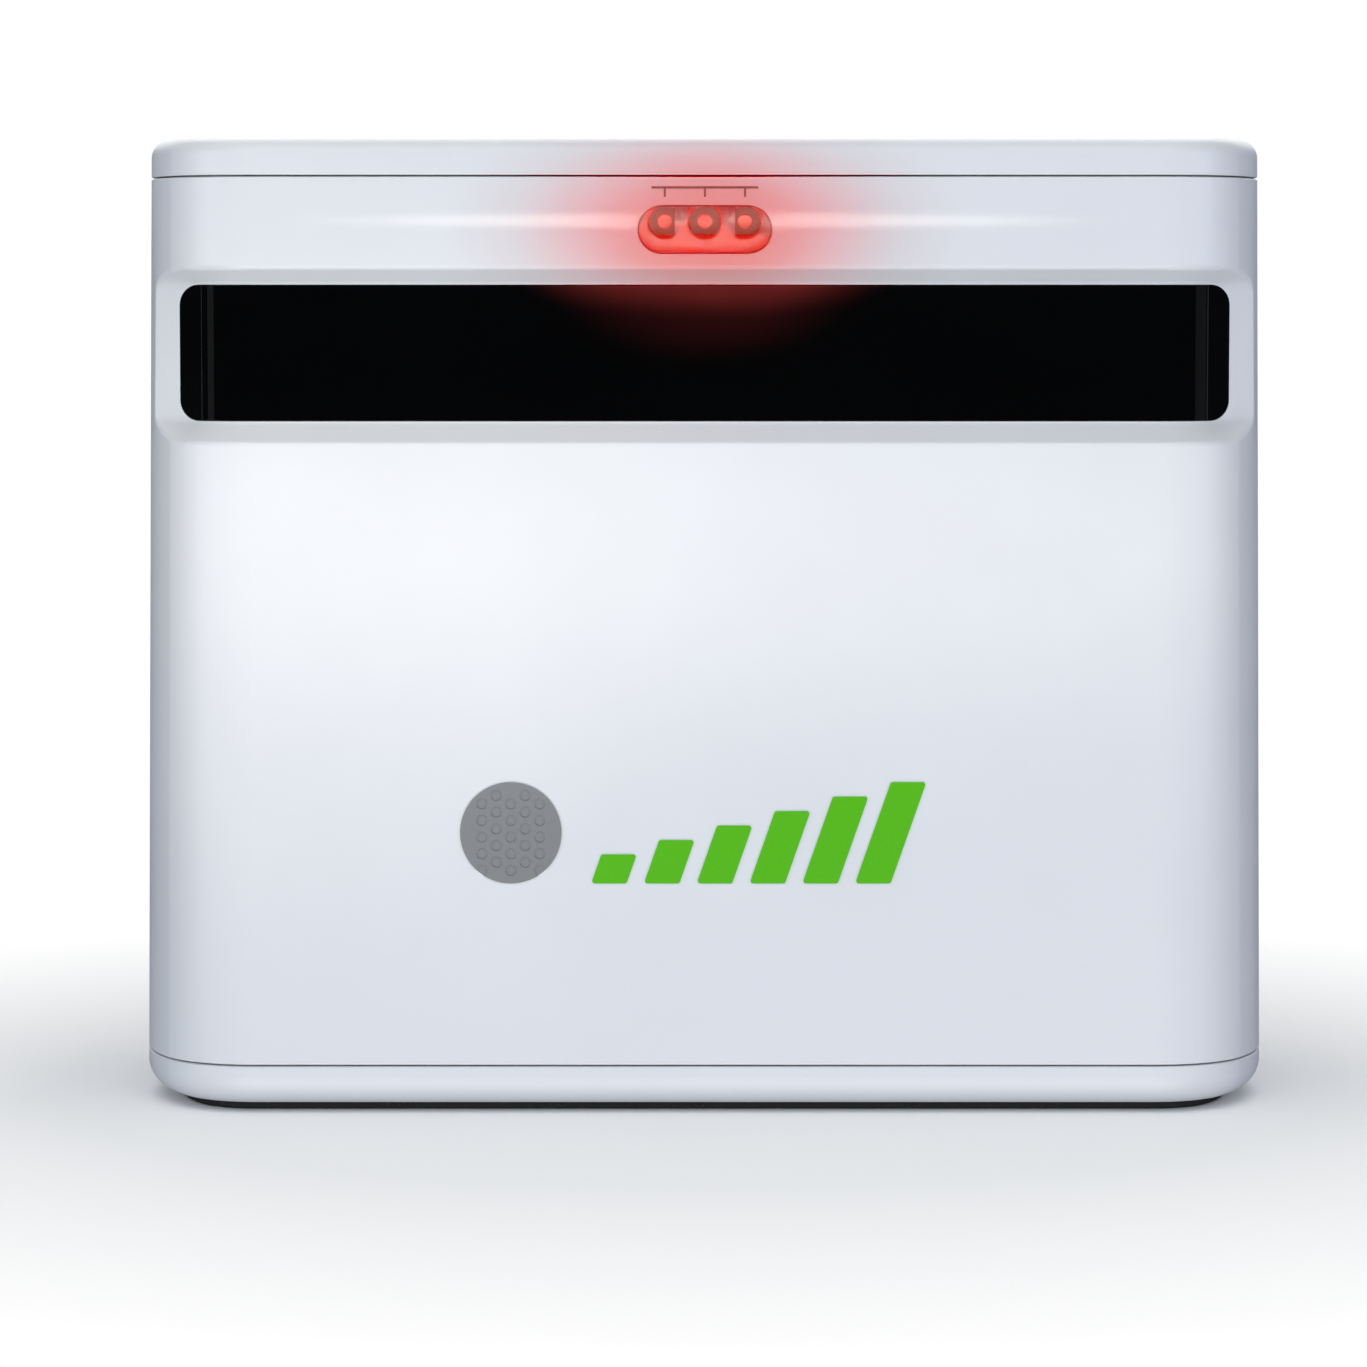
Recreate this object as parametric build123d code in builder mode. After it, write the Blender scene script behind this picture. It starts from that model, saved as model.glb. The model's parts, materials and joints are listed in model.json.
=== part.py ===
from build123d import *
from math import cos, radians, sin, tan
import os

# Compact camera launch monitor for golf practice: a white plastic box that stands on the ground
# beside the ball. Behind a black wrap-round window it holds two cameras and an infrared flash,
# and a small laser aperture above the window marks where the ball goes.
# Millimetres, +Z up, the front faces -Y, origin at the centre of the footprint on the ground.

# ---------------------------------------------------------------- driving dimensions
WIDTH = 171.5
DEPTH = 70.0
HEIGHT = 146.0
DRAFT = 0.59              # degrees of mould draft on every side wall, the wide end at the bottom
WALL = 2.2                # thickness of the moulded shells
SEAM = 0.25               # open joint between two shells
SEAM_EASE = 0.25          # rounding of the shell edges along a seam
LIP_GAP = 0.15            # clearance round the tongues that locate one shell in another
LIP = 1.2                 # thickness of those tongues
LIP_REACH = 3.0

CORNER_TIGHT = 15.5       # plan radius next to the front and rear faces
CORNER_TURN = 60.0        # degrees turned on that radius, the rest is on the slack one
CORNER_SLACK = 34.0       # plan radius next to the side faces

TRAY_BOTTOM = 1.2         # the rubber pad lifts the tray this far off the ground
TRAY_FLOOR = 3.4          # top of the tray's floor
TRAY_SEAM_Z = 7.3
CAP_SEAM_Z = 140.25
CAP_CEILING = 143.5       # underside of the cap's top plate
TOP_ROUND = 2.7
BOTTOM_ROUND = 4.4
PAD_INSET = 5.2
REAR_SEAM_Y = 14.5        # vertical joint between the front shell and the rear cover

WINDOW_LOW = 103.85       # lower and upper edge of the black window
WINDOW_HIGH = 124.05
WINDOW_HALF = 78.9        # half its width, seen from the front
WINDOW_CORNER = 3.0
WINDOW_THICK = 1.5
WINDOW_GAP = 0.1          # clearance round the window's edge
WINDOW_LEDGE = 2.0        # width of the ledge that the window sits on
GASKET_THICK = 0.5
RECESS_DEPTH = 3.3        # the window face lies this far behind the front face
RECESS_RISE = 2.6         # height of the sloping border above the window
RECESS_FALL = 3.2         # and below it
RECESS_REACH = 10.0       # the cutter's section runs this far in front of the window face
RECESS_ROOT = 2.0         # the border turns into the window face on this radius
WRAP_TURN = 44.0          # degrees that the window follows the corner
RAMP_LENGTH = 22.0        # straight run-out of the recess towards the side
CREST_ROUND = 1.0
BAND_LOW = 98.0           # thick band of shell behind the recess
BAND_HIGH = 128.0
BAND_DEPTH = 7.0
BAND_REAR_Y = -8.0

LASER_Z = 132.3           # laser aperture: an obround in the front face
LASER_WIDTH = 20.0
LASER_HEIGHT = 7.2
LASER_GLASS = 0.9
LASER_SINK = 0.4
LASER_PITCH = 5.95        # spacing of the three sockets behind the glass
LASER_SOCKET_R = 2.8
LASER_SOCKET_Z = 133.6
LASER_SOCKET_TOP = 135.7
LASER_RIB_X = 4.5         # the outer sockets are cut off by ribs here
LASER_SOCKET_REAR = -29.9
LASER_TILT = 15.0         # the beams point down to the ball
LASER_R = 2.35
LASER_LENGTH = 9.0

MARK_Z = 138.5
MARK_WIDTH = 15.8
MARK_STROKE = 0.3
EMBLEM_RAISE = 0.22
DIMPLE_DEPTH = 0.19
EMBLEM_Z = 34.8           # foot of the emblem
BALL_X = -29.0
BALL_R = 7.6
BAR_COUNT = 6
BAR_PITCH = 7.9
BAR_WIDTH = 5.3
BAR_FIRST_X = -17.0
BAR_SLANT = 0.35          # sideways lean for each millimetre of height

BUTTON_X = 52.0
BUTTON_R = 7.5
BUTTON_GAP = 0.15
INDICATOR_X = 30.0
INDICATOR_LENGTH = 16.0
INDICATOR_WIDTH = 4.0
PIPE_PITCH = 5.5
PIPE_R = 1.3
PLUNGER_R = 1.7
TOP_BOARD_Z = 134.0
TOP_BOARD = ((13.0, 68.0), (-5.0, 14.0))
TOP_POST_XS = (16.5, 64.5)
TOP_POST_YS = (-2.0, 11.0)

FOOT_X = 56.0
FOOT_Y = 18.0
WHEEL_R = 7.5
WHEEL_Z = (1.4, 5.0)
POCKET_R = 8.7
POCKET_TOP = 6.5
STUD_R = 3.0
STUD_TOP = 20.0
INSERT_R = 4.4
INSERT_Z = (9.0, 17.0)
GLIDE_R = 5.6
GLIDE_PIN_R = 1.5
RUNNING_FIT = 0.05

BOARD = 1.6               # thickness of the circuit boards
PLATE_FRONT = -8.0        # chassis plate, front and rear face
PLATE_REAR = -6.5
PLATE_HALF = 58.0
PLATE_Z = (12.0, 134.5)
TAB_X = 40.0              # tabs that screw the chassis to the tray and to the cap
TAB_Y = -12.0
CAMERA_X = 42.0
CAMERA_Z = 113.5
SENSOR_SCREW_X = 9.0      # screws of the camera and flash boards, from the board's middle
SENSOR_SCREW_Z = 7.0
RIBBON_Z = 99.2           # the camera ribbons pass through the chassis plate here
RIBBON_WIDTH = 8.0
LENS_R = 5.1
LENS_THICK = 1.9
LENS_DOME_R = 11.5
BAR_FRONT = -14.0         # camera bar, front and rear face
BAR_REAR = -10.0
BAR_HALF = 60.0
BAR_HEIGHT = 19.0
BAR_SCREW_X = 55.0
SENSOR_FRONT = -16.6      # front face of the boards on the camera bar
BARREL_R = 6.8
BARREL_FRONT = -27.4
FLASH_X = 16.0
FLASH_STEP = 3.6          # the four flash LEDs of a group, from the group's middle
FLASH_REACH = 6.2         # depth of the flash reflectors
MAIN_X = 55.0
MAIN_Z = (68.0, 128.0)
MAIN_SCREW_X = 51.0
MAIN_SCREW_ZS = (72.0, 124.0)
CELL_R = 9.2
CELL_LENGTH = 65.0
CELL_PITCH = 19.4
CELL_Y = 5.2
CELL_Z = 43.0             # middle of the battery
LEAD_X = 43.0             # the battery lead rises to the main board here
PORT_X = 34.0
PORT_Z = 17.6             # top of the port board
PORT_SCREW = (11.0, 12.0)   # its screws: to each side of its middle, and Y
USB_WIDTH = 8.94
USB_HEIGHT = 3.26
ANTENNA_Z = (113.0, 125.0)  # stuck to the inside of the rear cover
ANTENNA_THICK = 0.4

SHELL_SCREW_X = 66.0
SHELL_SCREW_ZS = (24.0, 90.0)
SHELL_SCREW_SEAT = 29.0
TRAY_SCREW_X = 73.0
TRAY_SCREW_YS = (-14.0, 6.0)
BOSS_R = 3.6
PILOT_R = 1.5             # holes that a screw bites in
CLEAR_R = 1.7             # holes that it passes through
RIB = 1.6
HEAD_R = 2.75             # heads of the M3 screws
HEAD_HEIGHT = 1.8
HEAD_SINK_R = 3.1
HEAD_SINK_Z = 3.0         # the tray screws' heads sit at this height
SMALL_R = 1.0             # M2 screws of the boards: shank, clearance hole and head
SMALL_CLEAR_R = 1.2
SMALL_HEAD_R = 1.9
SMALL_POST_R = 2.4
POST_R = 3.4

# ---------------------------------------------------------------- derived places
FLAT_HALF = WIDTH / 2 - (
    CORNER_TIGHT * sin(radians(CORNER_TURN)) + CORNER_SLACK * (1 - sin(radians(CORNER_TURN)))
)
TIGHT_Y = DEPTH / 2 - CORNER_TIGHT
SLACK_X = WIDTH / 2 - CORNER_SLACK
SLACK_Y = TIGHT_Y - (CORNER_SLACK - CORNER_TIGHT) * cos(radians(CORNER_TURN))
WINDOW_MID = (WINDOW_LOW + WINDOW_HIGH) / 2
SIDES = {"left": -1, "right": 1}


def lean(z):
    """How far the drafted walls have moved in at height z."""
    return (z - TRAY_BOTTOM) * tan(radians(DRAFT))


WINDOW_Y = -DEPTH / 2 + lean(WINDOW_MID) + RECESS_DEPTH
LASER_FACE_Y = -DEPTH / 2 + lean(LASER_Z)
GLASS_REAR = LASER_FACE_Y + LASER_SINK + LASER_GLASS
INNER_WALL_Y = LASER_FACE_Y + WALL + 0.1             # where parts behind the laser hole may start

finished = []


def finish(name, shape):
    """Label a finished piece and keep it for the export at the end."""
    shape.label = name
    finished.append(shape)


# ---------------------------------------------------------------- shared shapes
def plan_outline(inset):
    """Plan section of the body: four flat sides joined by two-radius corners."""
    with BuildSketch() as plan:
        with BuildLine():
            Line((0, -DEPTH / 2 + inset), (FLAT_HALF, -DEPTH / 2 + inset))
            CenterArc((FLAT_HALF, -TIGHT_Y), CORNER_TIGHT - inset, -90, CORNER_TURN)
            CenterArc((SLACK_X, -SLACK_Y), CORNER_SLACK - inset, CORNER_TURN - 90, 90 - CORNER_TURN)
            Line((WIDTH / 2 - inset, -SLACK_Y), (WIDTH / 2 - inset, 0))
            mirror(about=Plane.XZ)
            mirror(about=Plane.YZ)
        make_face()
    return plan.sketch


def envelope():
    """The whole closed body, drafted, with rounded top and bottom edges."""
    with BuildPart() as body:
        with BuildSketch(Plane.XY.offset(TRAY_BOTTOM)):
            add(plan_outline(0))
        extrude(amount=HEIGHT - TRAY_BOTTOM, taper=DRAFT)
        fillet(body.faces().sort_by(Axis.Z)[-1].edges(), radius=TOP_ROUND)
        fillet(body.faces().sort_by(Axis.Z)[0].edges(), radius=BOTTOM_ROUND)
    return body.part


def core(inset, low=TRAY_BOTTOM, high=HEIGHT):
    """Drafted prism inside the body between two heights, its sides inset from the skin."""
    with BuildPart() as prism:
        with BuildSketch(Plane.XY.offset(low)):
            add(plan_outline(inset + lean(low)))
        extrude(amount=high - low, taper=DRAFT)
    return prism.part


def block(x, y, z):
    """Box between two limits on each axis."""
    with BuildPart() as box:
        with BuildSketch(Plane.XY.offset(z[0])):
            with Locations(((x[0] + x[1]) / 2, (y[0] + y[1]) / 2)):
                Rectangle(x[1] - x[0], y[1] - y[0])
        extrude(amount=z[1] - z[0])
    return box.part


def around(middle, size):
    """Two limits, half a size to each side of the middle."""
    return (middle - size / 2, middle + size / 2)


def pegs(places, radius, length):
    """Round pegs that stand on planes."""
    with BuildPart() as group:
        for place in places:
            with BuildSketch(place):
                Circle(radius)
            extrude(amount=length)
    return group.part


def facing_rear(x, y, z):
    """Plane at a point, its normal towards the rear."""
    return Plane(origin=(x, y, z), x_dir=(1, 0, 0), z_dir=(0, 1, 0))


def facing_front(x, y, z):
    """Plane at a point, its normal towards the front."""
    return Plane(origin=(x, y, z), x_dir=(1, 0, 0), z_dir=(0, -1, 0))


def facing_up(x, y, z):
    """Plane at a point, its normal upwards."""
    return Plane(origin=(x, y, z), x_dir=(1, 0, 0), z_dir=(0, 0, 1))


def facing_down(x, y, z):
    """Plane at a point, its normal downwards."""
    return Plane(origin=(x, y, z), x_dir=(1, 0, 0), z_dir=(0, 0, -1))


def on_front(x, z):
    """Plane that lies on the drafted front face, its Y axis up the face."""
    draft = radians(DRAFT)
    return Plane(origin=(x, -DEPTH / 2 + lean(z), z), x_dir=(1, 0, 0), z_dir=(0, -cos(draft), sin(draft)))


def screws(places, head_r, head_h, shank_r, shank_h):
    """Pan-head screws with a hexagon socket. Each place is a plane at the underside of the head,
    its normal pointing out of the head."""
    with BuildPart() as group:
        for place in places:
            with BuildSketch(place):
                Circle(head_r)
            extrude(amount=head_h)
            with BuildSketch(place):
                Circle(shank_r)
            extrude(amount=-shank_h)
            with BuildSketch(place.offset(head_h)):
                RegularPolygon(head_r * 0.5, 6)
            extrude(amount=-head_h * 0.55, mode=Mode.SUBTRACT)
    return group.part


def tongue(root, reach):
    """Locating tongue along a seam: joined to its own wall inside the root block, and clear of the
    neighbour's wall inside the reach block."""
    with BuildPart() as strip:
        add(core(WALL))
        add(root, mode=Mode.INTERSECT)
        add(core(WALL + LIP_GAP + LIP), mode=Mode.SUBTRACT)
    with BuildPart() as lip:
        add(core(WALL + LIP_GAP))
        add(reach, mode=Mode.INTERSECT)
        add(core(WALL + LIP_GAP + LIP), mode=Mode.SUBTRACT)
        add(strip.part)
    return lip.part


def window_band(corners):
    """Section swept along the window face and round both corners, then straight out to the sides.
    Each corner of the section is (distance in front of the window face, height)."""
    with BuildPart() as band:
        with BuildLine() as path:
            Line((0, WINDOW_Y), (FLAT_HALF, WINDOW_Y))
            bend = CenterArc((FLAT_HALF, -TIGHT_Y), -TIGHT_Y - WINDOW_Y, -90, WRAP_TURN)
            Line(bend @ 1, (bend @ 1) + (bend % 1) * RAMP_LENGTH)
        with BuildSketch(Plane.YZ):
            with BuildLine():
                Polyline(*[(WINDOW_Y - out, z) for out, z in corners], close=True)
            make_face()
        sweep(path=path.wire())
        mirror(about=Plane.YZ)
    return band.part


def window_outline(spread):
    """The window's outline, rounded seen from the front, run through the body's depth."""
    with BuildPart() as prism:
        with BuildSketch(Plane.XZ):
            with Locations((0, WINDOW_MID)):
                RectangleRounded(
                    2 * (WINDOW_HALF + spread),
                    WINDOW_HIGH - WINDOW_LOW + 2 * spread,
                    WINDOW_CORNER + spread,
                )
        extrude(amount=DEPTH)
    return prism.part


def window_slab(front, rear, spread):
    """Slab that follows the window between two depths behind its face."""
    low, high = WINDOW_LOW - spread, WINDOW_HIGH + spread
    with BuildPart() as slab:
        add(window_band([(-front, low), (-front, high), (-rear, high), (-rear, low)]))
        add(window_outline(spread), mode=Mode.INTERSECT)
    return slab.part


def obround(place, width, height, depth):
    """Slot-shaped block that starts on a plane and runs along its normal."""
    with BuildPart() as shape:
        with BuildSketch(place):
            SlotOverall(width, height)
        extrude(amount=depth)
    return shape.part


def sensor_screws(middle):
    """The four screws, (x, z), of a camera or flash board with its middle at that x."""
    return [
        (middle + dx, CAMERA_Z + dz)
        for dx in (-SENSOR_SCREW_X, SENSOR_SCREW_X)
        for dz in (-SENSOR_SCREW_Z, SENSOR_SCREW_Z)
    ]


# ---------------------------------------------------------------- casing
whole = envelope()
ALL = (-200, 200)
above_tray = TRAY_SEAM_Z + SEAM / 2
below_cap = CAP_SEAM_Z - SEAM / 2
shell_places = [(side * SHELL_SCREW_X, z) for side in SIDES.values() for z in SHELL_SCREW_ZS]
tray_places = [(side * TRAY_SCREW_X, y) for side in SIDES.values() for y in TRAY_SCREW_YS]
tab_places = [(side * TAB_X, TAB_Y) for side in SIDES.values()]
foot_places = [(side * FOOT_X, FOOT_Y) for side in SIDES.values()]
top_places = [(x, y) for x in TOP_POST_XS for y in TOP_POST_YS]
port_places = [(PORT_X + side * PORT_SCREW[0], PORT_SCREW[1]) for side in SIDES.values()]
stake_places = [facing_rear(side * 13.8, INNER_WALL_Y - 0.4, LASER_Z) for side in SIDES.values()]

with BuildPart() as window_block:
    add(block((-90, 90), (-40, BAND_REAR_Y), (BAND_LOW, BAND_HIGH)))
    add(core(BAND_DEPTH), mode=Mode.SUBTRACT)

with BuildPart() as front_void:
    add(core(WALL))
    add(window_block.part, mode=Mode.SUBTRACT)

with BuildPart() as recess:
    rise = RECESS_RISE / RECESS_DEPTH * RECESS_REACH
    fall = RECESS_FALL / RECESS_DEPTH * RECESS_REACH
    add(
        window_band(
            [
                (0, WINDOW_LOW),
                (0, WINDOW_HIGH),
                (RECESS_REACH, WINDOW_HIGH + rise),
                (RECESS_REACH, WINDOW_LOW - fall),
            ]
        )
    )
    creases = [
        edge
        for edge in recess.edges()
        for height in (WINDOW_LOW, WINDOW_HIGH)
        if all(abs((edge @ t).Z - height) < 0.01 for t in (0, 0.5))
    ]
    fillet(creases, radius=RECESS_ROOT)

with BuildPart() as front_shell:
    add(whole)
    skin = front_shell.part.shell()
    split(bisect_by=Plane.XY.offset(above_tray), keep=Keep.TOP)
    split(bisect_by=Plane.XY.offset(below_cap), keep=Keep.BOTTOM)
    split(bisect_by=Plane.XZ.offset(-REAR_SEAM_Y + SEAM / 2), keep=Keep.TOP)
    seam_faces = [
        front_shell.faces().sort_by(Axis.Z)[-1],
        front_shell.faces().sort_by(Axis.Z)[0],
        front_shell.faces().sort_by(Axis.Y)[-1],
    ]
    fillet({edge for face in seam_faces for edge in face.edges()}, radius=SEAM_EASE)
    add(recess.part, mode=Mode.SUBTRACT)
    crest = [
        edge
        for edge in front_shell.edges(Select.NEW)
        if all(skin.distance_to(edge @ t) < 0.01 for t in (0, 0.5, 1))
    ]
    fillet(crest, radius=CREST_ROUND)
    add(front_void.part, mode=Mode.SUBTRACT)
    add(window_slab(-1.0, WINDOW_THICK + GASKET_THICK, WINDOW_GAP), mode=Mode.SUBTRACT)
    add(window_outline(-WINDOW_LEDGE), mode=Mode.SUBTRACT)
    add(obround(facing_front(0, INNER_WALL_Y, LASER_Z), LASER_WIDTH, LASER_HEIGHT, 9), mode=Mode.SUBTRACT)
    add(pegs(stake_places, 1.0, 2.8))
    for x, z in shell_places:
        side = 1 if x > 0 else -1
        wall = side * (WIDTH / 2 - lean(z) - 1)
        add(pegs([facing_front(x, REAR_SEAM_Y - SEAM / 2, z)], BOSS_R, 12))
        add(block(sorted((x, wall)), (4, REAR_SEAM_Y - LIP_REACH - 0.5), around(z, RIB)))
        add(pegs([facing_front(x, REAR_SEAM_Y, z)], PILOT_R, 9), mode=Mode.SUBTRACT)
    for x, y in tray_places:
        side = 1 if x > 0 else -1
        add(pegs([facing_up(x, y, 8.1)], BOSS_R, 15.9))
        add(block(sorted((x, side * (WIDTH / 2 - 1.2))), around(y, RIB), (10.5, 24)))
        add(pegs([facing_up(x, y, 8.1)], PILOT_R, 14), mode=Mode.SUBTRACT)
finish("front_shell", front_shell.part)

with BuildPart() as rear_cover:
    add(whole)
    split(bisect_by=Plane.XY.offset(above_tray), keep=Keep.TOP)
    split(bisect_by=Plane.XY.offset(below_cap), keep=Keep.BOTTOM)
    split(bisect_by=Plane.XZ.offset(-REAR_SEAM_Y - SEAM / 2), keep=Keep.BOTTOM)
    seam_faces = [
        rear_cover.faces().sort_by(Axis.Z)[-1],
        rear_cover.faces().sort_by(Axis.Z)[0],
        rear_cover.faces().sort_by(Axis.Y)[0],
    ]
    fillet({edge for face in seam_faces for edge in face.edges()}, radius=SEAM_EASE)
    add(core(WALL), mode=Mode.SUBTRACT)
    seam_y = REAR_SEAM_Y + SEAM / 2
    add(
        tongue(
            block(ALL, (seam_y + 0.3, seam_y + 2.3), (11, 136)),
            block(ALL, (seam_y - LIP_REACH, seam_y + 2.3), (11, 136)),
        )
    )
    add(pegs([facing_rear(x, seam_y, z) for x, z in shell_places], BOSS_R + 0.6, 33.4 - seam_y))
    heads = [facing_rear(x, SHELL_SCREW_SEAT, z) for x, z in shell_places]
    add(pegs(heads, HEAD_SINK_R, 10), mode=Mode.SUBTRACT)
    add(pegs([facing_rear(x, seam_y, z) for x, z in shell_places], CLEAR_R, 20), mode=Mode.SUBTRACT)
    with BuildSketch(facing_rear(0, 20, 112)):
        with GridLocations(6.5, 20, 13, 2):
            SlotOverall(15, 2.4, rotation=90)
    extrude(amount=20, mode=Mode.SUBTRACT)
    usb_mid = PORT_Z + USB_HEIGHT / 2
    add(obround(facing_rear(PORT_X, 34.0, usb_mid), 14, 8, 4), mode=Mode.SUBTRACT)
    add(obround(facing_rear(PORT_X, 30, usb_mid), USB_WIDTH + 0.5, USB_HEIGHT + 0.5, 6), mode=Mode.SUBTRACT)
finish("rear_cover", rear_cover.part)

with BuildPart() as top_cap:
    add(whole)
    split(bisect_by=Plane.XY.offset(CAP_SEAM_Z + SEAM / 2), keep=Keep.TOP)
    fillet(top_cap.faces().sort_by(Axis.Z)[0].edges(), radius=SEAM_EASE)
    add(core(WALL, CAP_SEAM_Z - 1, CAP_CEILING), mode=Mode.SUBTRACT)
    seam_z = CAP_SEAM_Z + SEAM / 2
    add(
        tongue(
            block(ALL, ALL, (seam_z + 0.3, CAP_CEILING)),
            block(ALL, ALL, (CAP_SEAM_Z - LIP_REACH, CAP_CEILING)),
        )
    )
    post_top = CAP_CEILING + 0.3
    add(pegs([facing_up(x, y, PLATE_Z[1]) for x, y in tab_places], POST_R, post_top - PLATE_Z[1]))
    add(pegs([facing_up(x, y, PLATE_Z[1]) for x, y in tab_places], PILOT_R, 7.5), mode=Mode.SUBTRACT)
    board_top = TOP_BOARD_Z + BOARD
    add(pegs([facing_up(x, y, board_top) for x, y in top_places], SMALL_POST_R, post_top - board_top))
    add(pegs([facing_up(x, y, board_top) for x, y in top_places], SMALL_R, 6), mode=Mode.SUBTRACT)
    add(pegs([facing_up(BUTTON_X, 0, CAP_CEILING - 1)], BUTTON_R + BUTTON_GAP, 5), mode=Mode.SUBTRACT)
    add(
        obround(
            facing_up(INDICATOR_X, 0, CAP_CEILING - 1),
            INDICATOR_LENGTH + 0.1,
            INDICATOR_WIDTH + 0.1,
            5,
        ),
        mode=Mode.SUBTRACT,
    )
    rim = top_cap.edges().filter_by(GeomType.CIRCLE).group_by(Axis.Z)[-1]
    chamfer([edge for edge in rim if abs(edge.radius - BUTTON_R - BUTTON_GAP) < 0.01], length=0.4)
finish("top_cap", top_cap.part)

with BuildPart() as base_tray:
    add(whole)
    split(bisect_by=Plane.XY.offset(TRAY_SEAM_Z - SEAM / 2), keep=Keep.BOTTOM)
    fillet(base_tray.faces().sort_by(Axis.Z)[-1].edges(), radius=SEAM_EASE)
    add(core(WALL, TRAY_FLOOR, 20), mode=Mode.SUBTRACT)
    seam_z = TRAY_SEAM_Z - SEAM / 2
    add(
        tongue(
            block(ALL, ALL, (TRAY_FLOOR, seam_z - 0.3)),
            block(ALL, ALL, (TRAY_FLOOR, TRAY_SEAM_Z + LIP_REACH)),
        )
    )
    floor = TRAY_FLOOR - 0.3
    add(pegs([facing_up(x, y, floor) for x, y in tray_places], BOSS_R, 8.0 - floor))
    add(pegs([facing_down(x, y, HEAD_SINK_Z) for x, y in tray_places], HEAD_SINK_R, 5), mode=Mode.SUBTRACT)
    add(pegs([facing_down(x, y, 8.0) for x, y in tray_places], CLEAR_R, 6), mode=Mode.SUBTRACT)
    add(pegs([facing_up(x, y, floor) for x, y in tab_places], POST_R, PLATE_Z[0] - floor))
    add(pegs([facing_down(x, y, PLATE_Z[0]) for x, y in tab_places], PILOT_R, 8), mode=Mode.SUBTRACT)
    port_under = PORT_Z - BOARD
    add(pegs([facing_up(x, y, floor) for x, y in port_places], SMALL_POST_R, port_under - floor))
    add(pegs([facing_down(x, y, port_under) for x, y in port_places], SMALL_R, 6), mode=Mode.SUBTRACT)
    add(pegs([facing_up(x, y, floor) for x, y in foot_places], POCKET_R + 1.6, POCKET_TOP + 2 - floor))
    add(pegs([facing_up(x, y, POCKET_TOP) for x, y in foot_places], INSERT_R + 2.1, 11.5))
    add(pegs([facing_up(x, y, 0) for x, y in foot_places], POCKET_R, POCKET_TOP), mode=Mode.SUBTRACT)
    add(pegs([facing_up(x, y, 0) for x, y in foot_places], STUD_R + 0.3, 20), mode=Mode.SUBTRACT)
    add(pegs([facing_up(x, y, INSERT_Z[0]) for x, y in foot_places], INSERT_R, 10), mode=Mode.SUBTRACT)
finish("base_tray", base_tray.part)

with BuildPart() as base_pad:
    with BuildSketch():
        add(plan_outline(PAD_INSET))
        with Locations(*foot_places):
            Circle(POCKET_R + 0.4, mode=Mode.SUBTRACT)
    extrude(amount=TRAY_BOTTOM)
    chamfer(base_pad.faces().sort_by(Axis.Z)[0].outer_wire().edges(), length=0.3)
finish("base_pad", base_pad.part)

# ---------------------------------------------------------------- window and badge
with BuildPart() as front_window:
    add(window_slab(0, WINDOW_THICK, 0))
finish("front_window", front_window.part)

with BuildPart() as window_gasket:
    add(window_slab(WINDOW_THICK, WINDOW_THICK + GASKET_THICK, 0))
    add(window_outline(-WINDOW_LEDGE), mode=Mode.SUBTRACT)
finish("window_gasket", window_gasket.part)

with BuildPart() as emblem_ball:
    ball = on_front(BALL_X, EMBLEM_Z + BALL_R)
    with BuildSketch(ball):
        Circle(BALL_R)
    extrude(amount=EMBLEM_RAISE)
    with BuildSketch(ball.offset(EMBLEM_RAISE)):
        with HexLocations(1.25, 5, 5):
            Circle(0.85)
    extrude(amount=-DIMPLE_DEPTH, mode=Mode.SUBTRACT)
finish("emblem_ball", emblem_ball.part)

with BuildPart() as emblem_bars:
    for number in range(BAR_COUNT):
        tall = BALL_R * 2 * (number + 2) / (BAR_COUNT + 1)
        shift = BAR_SLANT * tall
        with BuildSketch(on_front(BAR_FIRST_X + number * BAR_PITCH, EMBLEM_Z)):
            with BuildLine():
                FilletPolyline(
                    (0, 0), (BAR_WIDTH, 0), (BAR_WIDTH + shift, tall), (shift, tall), radius=0.4, close=True
                )
            make_face()
        extrude(amount=EMBLEM_RAISE)
finish("emblem_bars", emblem_bars.part)

with BuildPart() as aperture_mark:
    with BuildSketch(on_front(0, MARK_Z)):
        Rectangle(MARK_WIDTH, MARK_STROKE)
        for tick in (-1, 0, 1):
            with Locations((tick * LASER_PITCH, -0.7)):
                Rectangle(MARK_STROKE, 1.4)
    extrude(amount=0.06)
finish("aperture_mark", aperture_mark.part)

# ---------------------------------------------------------------- laser aperture
tilt = radians(LASER_TILT)
laser_planes = [
    Plane(
        origin=(number * LASER_PITCH, LASER_SOCKET_REAR + 0.7, LASER_SOCKET_Z),
        x_dir=(1, 0, 0),
        z_dir=(0, cos(tilt), sin(tilt)),
    )
    for number in (-1, 0, 1)
]

with BuildPart() as laser_glass:
    face = facing_rear(0, LASER_FACE_Y + LASER_SINK, LASER_Z)
    add(obround(face, LASER_WIDTH - 0.1, LASER_HEIGHT - 0.1, LASER_GLASS))
    chamfer(laser_glass.faces().sort_by(Axis.Y)[0].edges(), length=0.2)
finish("laser_glass", laser_glass.part)

with BuildPart() as laser_sockets:
    with BuildSketch(facing_front(0, LASER_SOCKET_REAR, 0)):
        with Locations(*[(number * LASER_PITCH, LASER_SOCKET_Z) for number in (-1, 0, 1)]):
            Circle(LASER_SOCKET_R)
        with Locations((0, LASER_SOCKET_TOP + 2)):
            Rectangle(30, 4, mode=Mode.SUBTRACT)
        gap = LASER_RIB_X - LASER_SOCKET_R
        with Locations(*[(side * (LASER_SOCKET_R + gap / 2), LASER_Z) for side in SIDES.values()]):
            Rectangle(gap, 12, mode=Mode.SUBTRACT)
    extrude(amount=6)

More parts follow.
